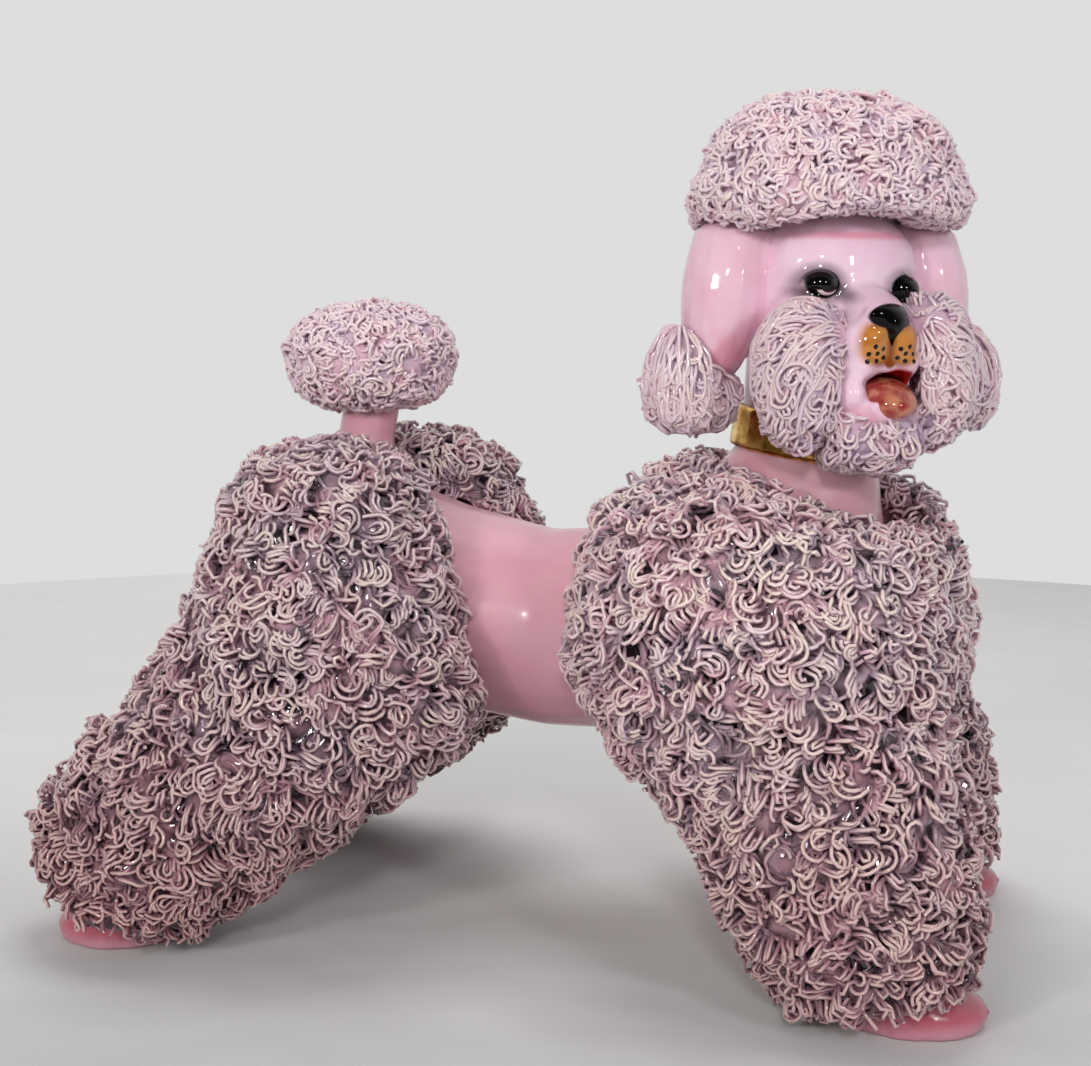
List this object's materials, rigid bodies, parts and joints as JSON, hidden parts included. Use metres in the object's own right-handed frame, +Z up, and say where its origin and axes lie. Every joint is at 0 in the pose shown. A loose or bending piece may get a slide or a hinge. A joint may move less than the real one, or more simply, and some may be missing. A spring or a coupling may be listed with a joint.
{
  "type": "poodle figurine",
  "caption": "Standing glazed ceramic poodle ornament with smooth pink waist, face and paws, tufted clay-strand coats, pompom tail, ear tassels and a gold collar.",
  "frame": {"origin": "middle of the bounding box at the level of the paw soles", "axes": "+X from the tail to the chest, +Y to the dog's left, +Z up"},
  "size_m": [0.2296, 0.1454, 0.2017],
  "materials": {
    "pink_glaze": "smooth glossy rose-pink glaze over a slip casting",
    "face_glaze": "smooth glossy pale pink glaze with hand-painted eyes, nose and mouth",
    "gold_lustre": "fired gold lustre, mirror-like",
    "strand_glaze": "glossy beige-pink glaze over tufts of extruded clay strands",
    "fine_strand_glaze": "glossy lavender-pink glaze over fine clay strands"
  },
  "bodies": {
    "root": {"body_casting": "pink_glaze", "tail_stalk": "pink_glaze", "head_casting": "face_glaze", "collar_band": "gold_lustre", "mane_coat": "strand_glaze", "front_leg_coat_right": "strand_glaze", "front_leg_coat_left": "strand_glaze", "hind_coat_right": "strand_glaze", "hind_coat_left": "strand_glaze", "ear_flap_right": "face_glaze", "ear_flap_left": "face_glaze", "ear_tassel_right": "fine_strand_glaze", "ear_tassel_left": "fine_strand_glaze", "cheek_ruff_right": "fine_strand_glaze", "cheek_ruff_left": "fine_strand_glaze", "chin_beard": "fine_strand_glaze", "topknot": "fine_strand_glaze", "tail_pompom": "fine_strand_glaze"}
  },
  "joints": []
}
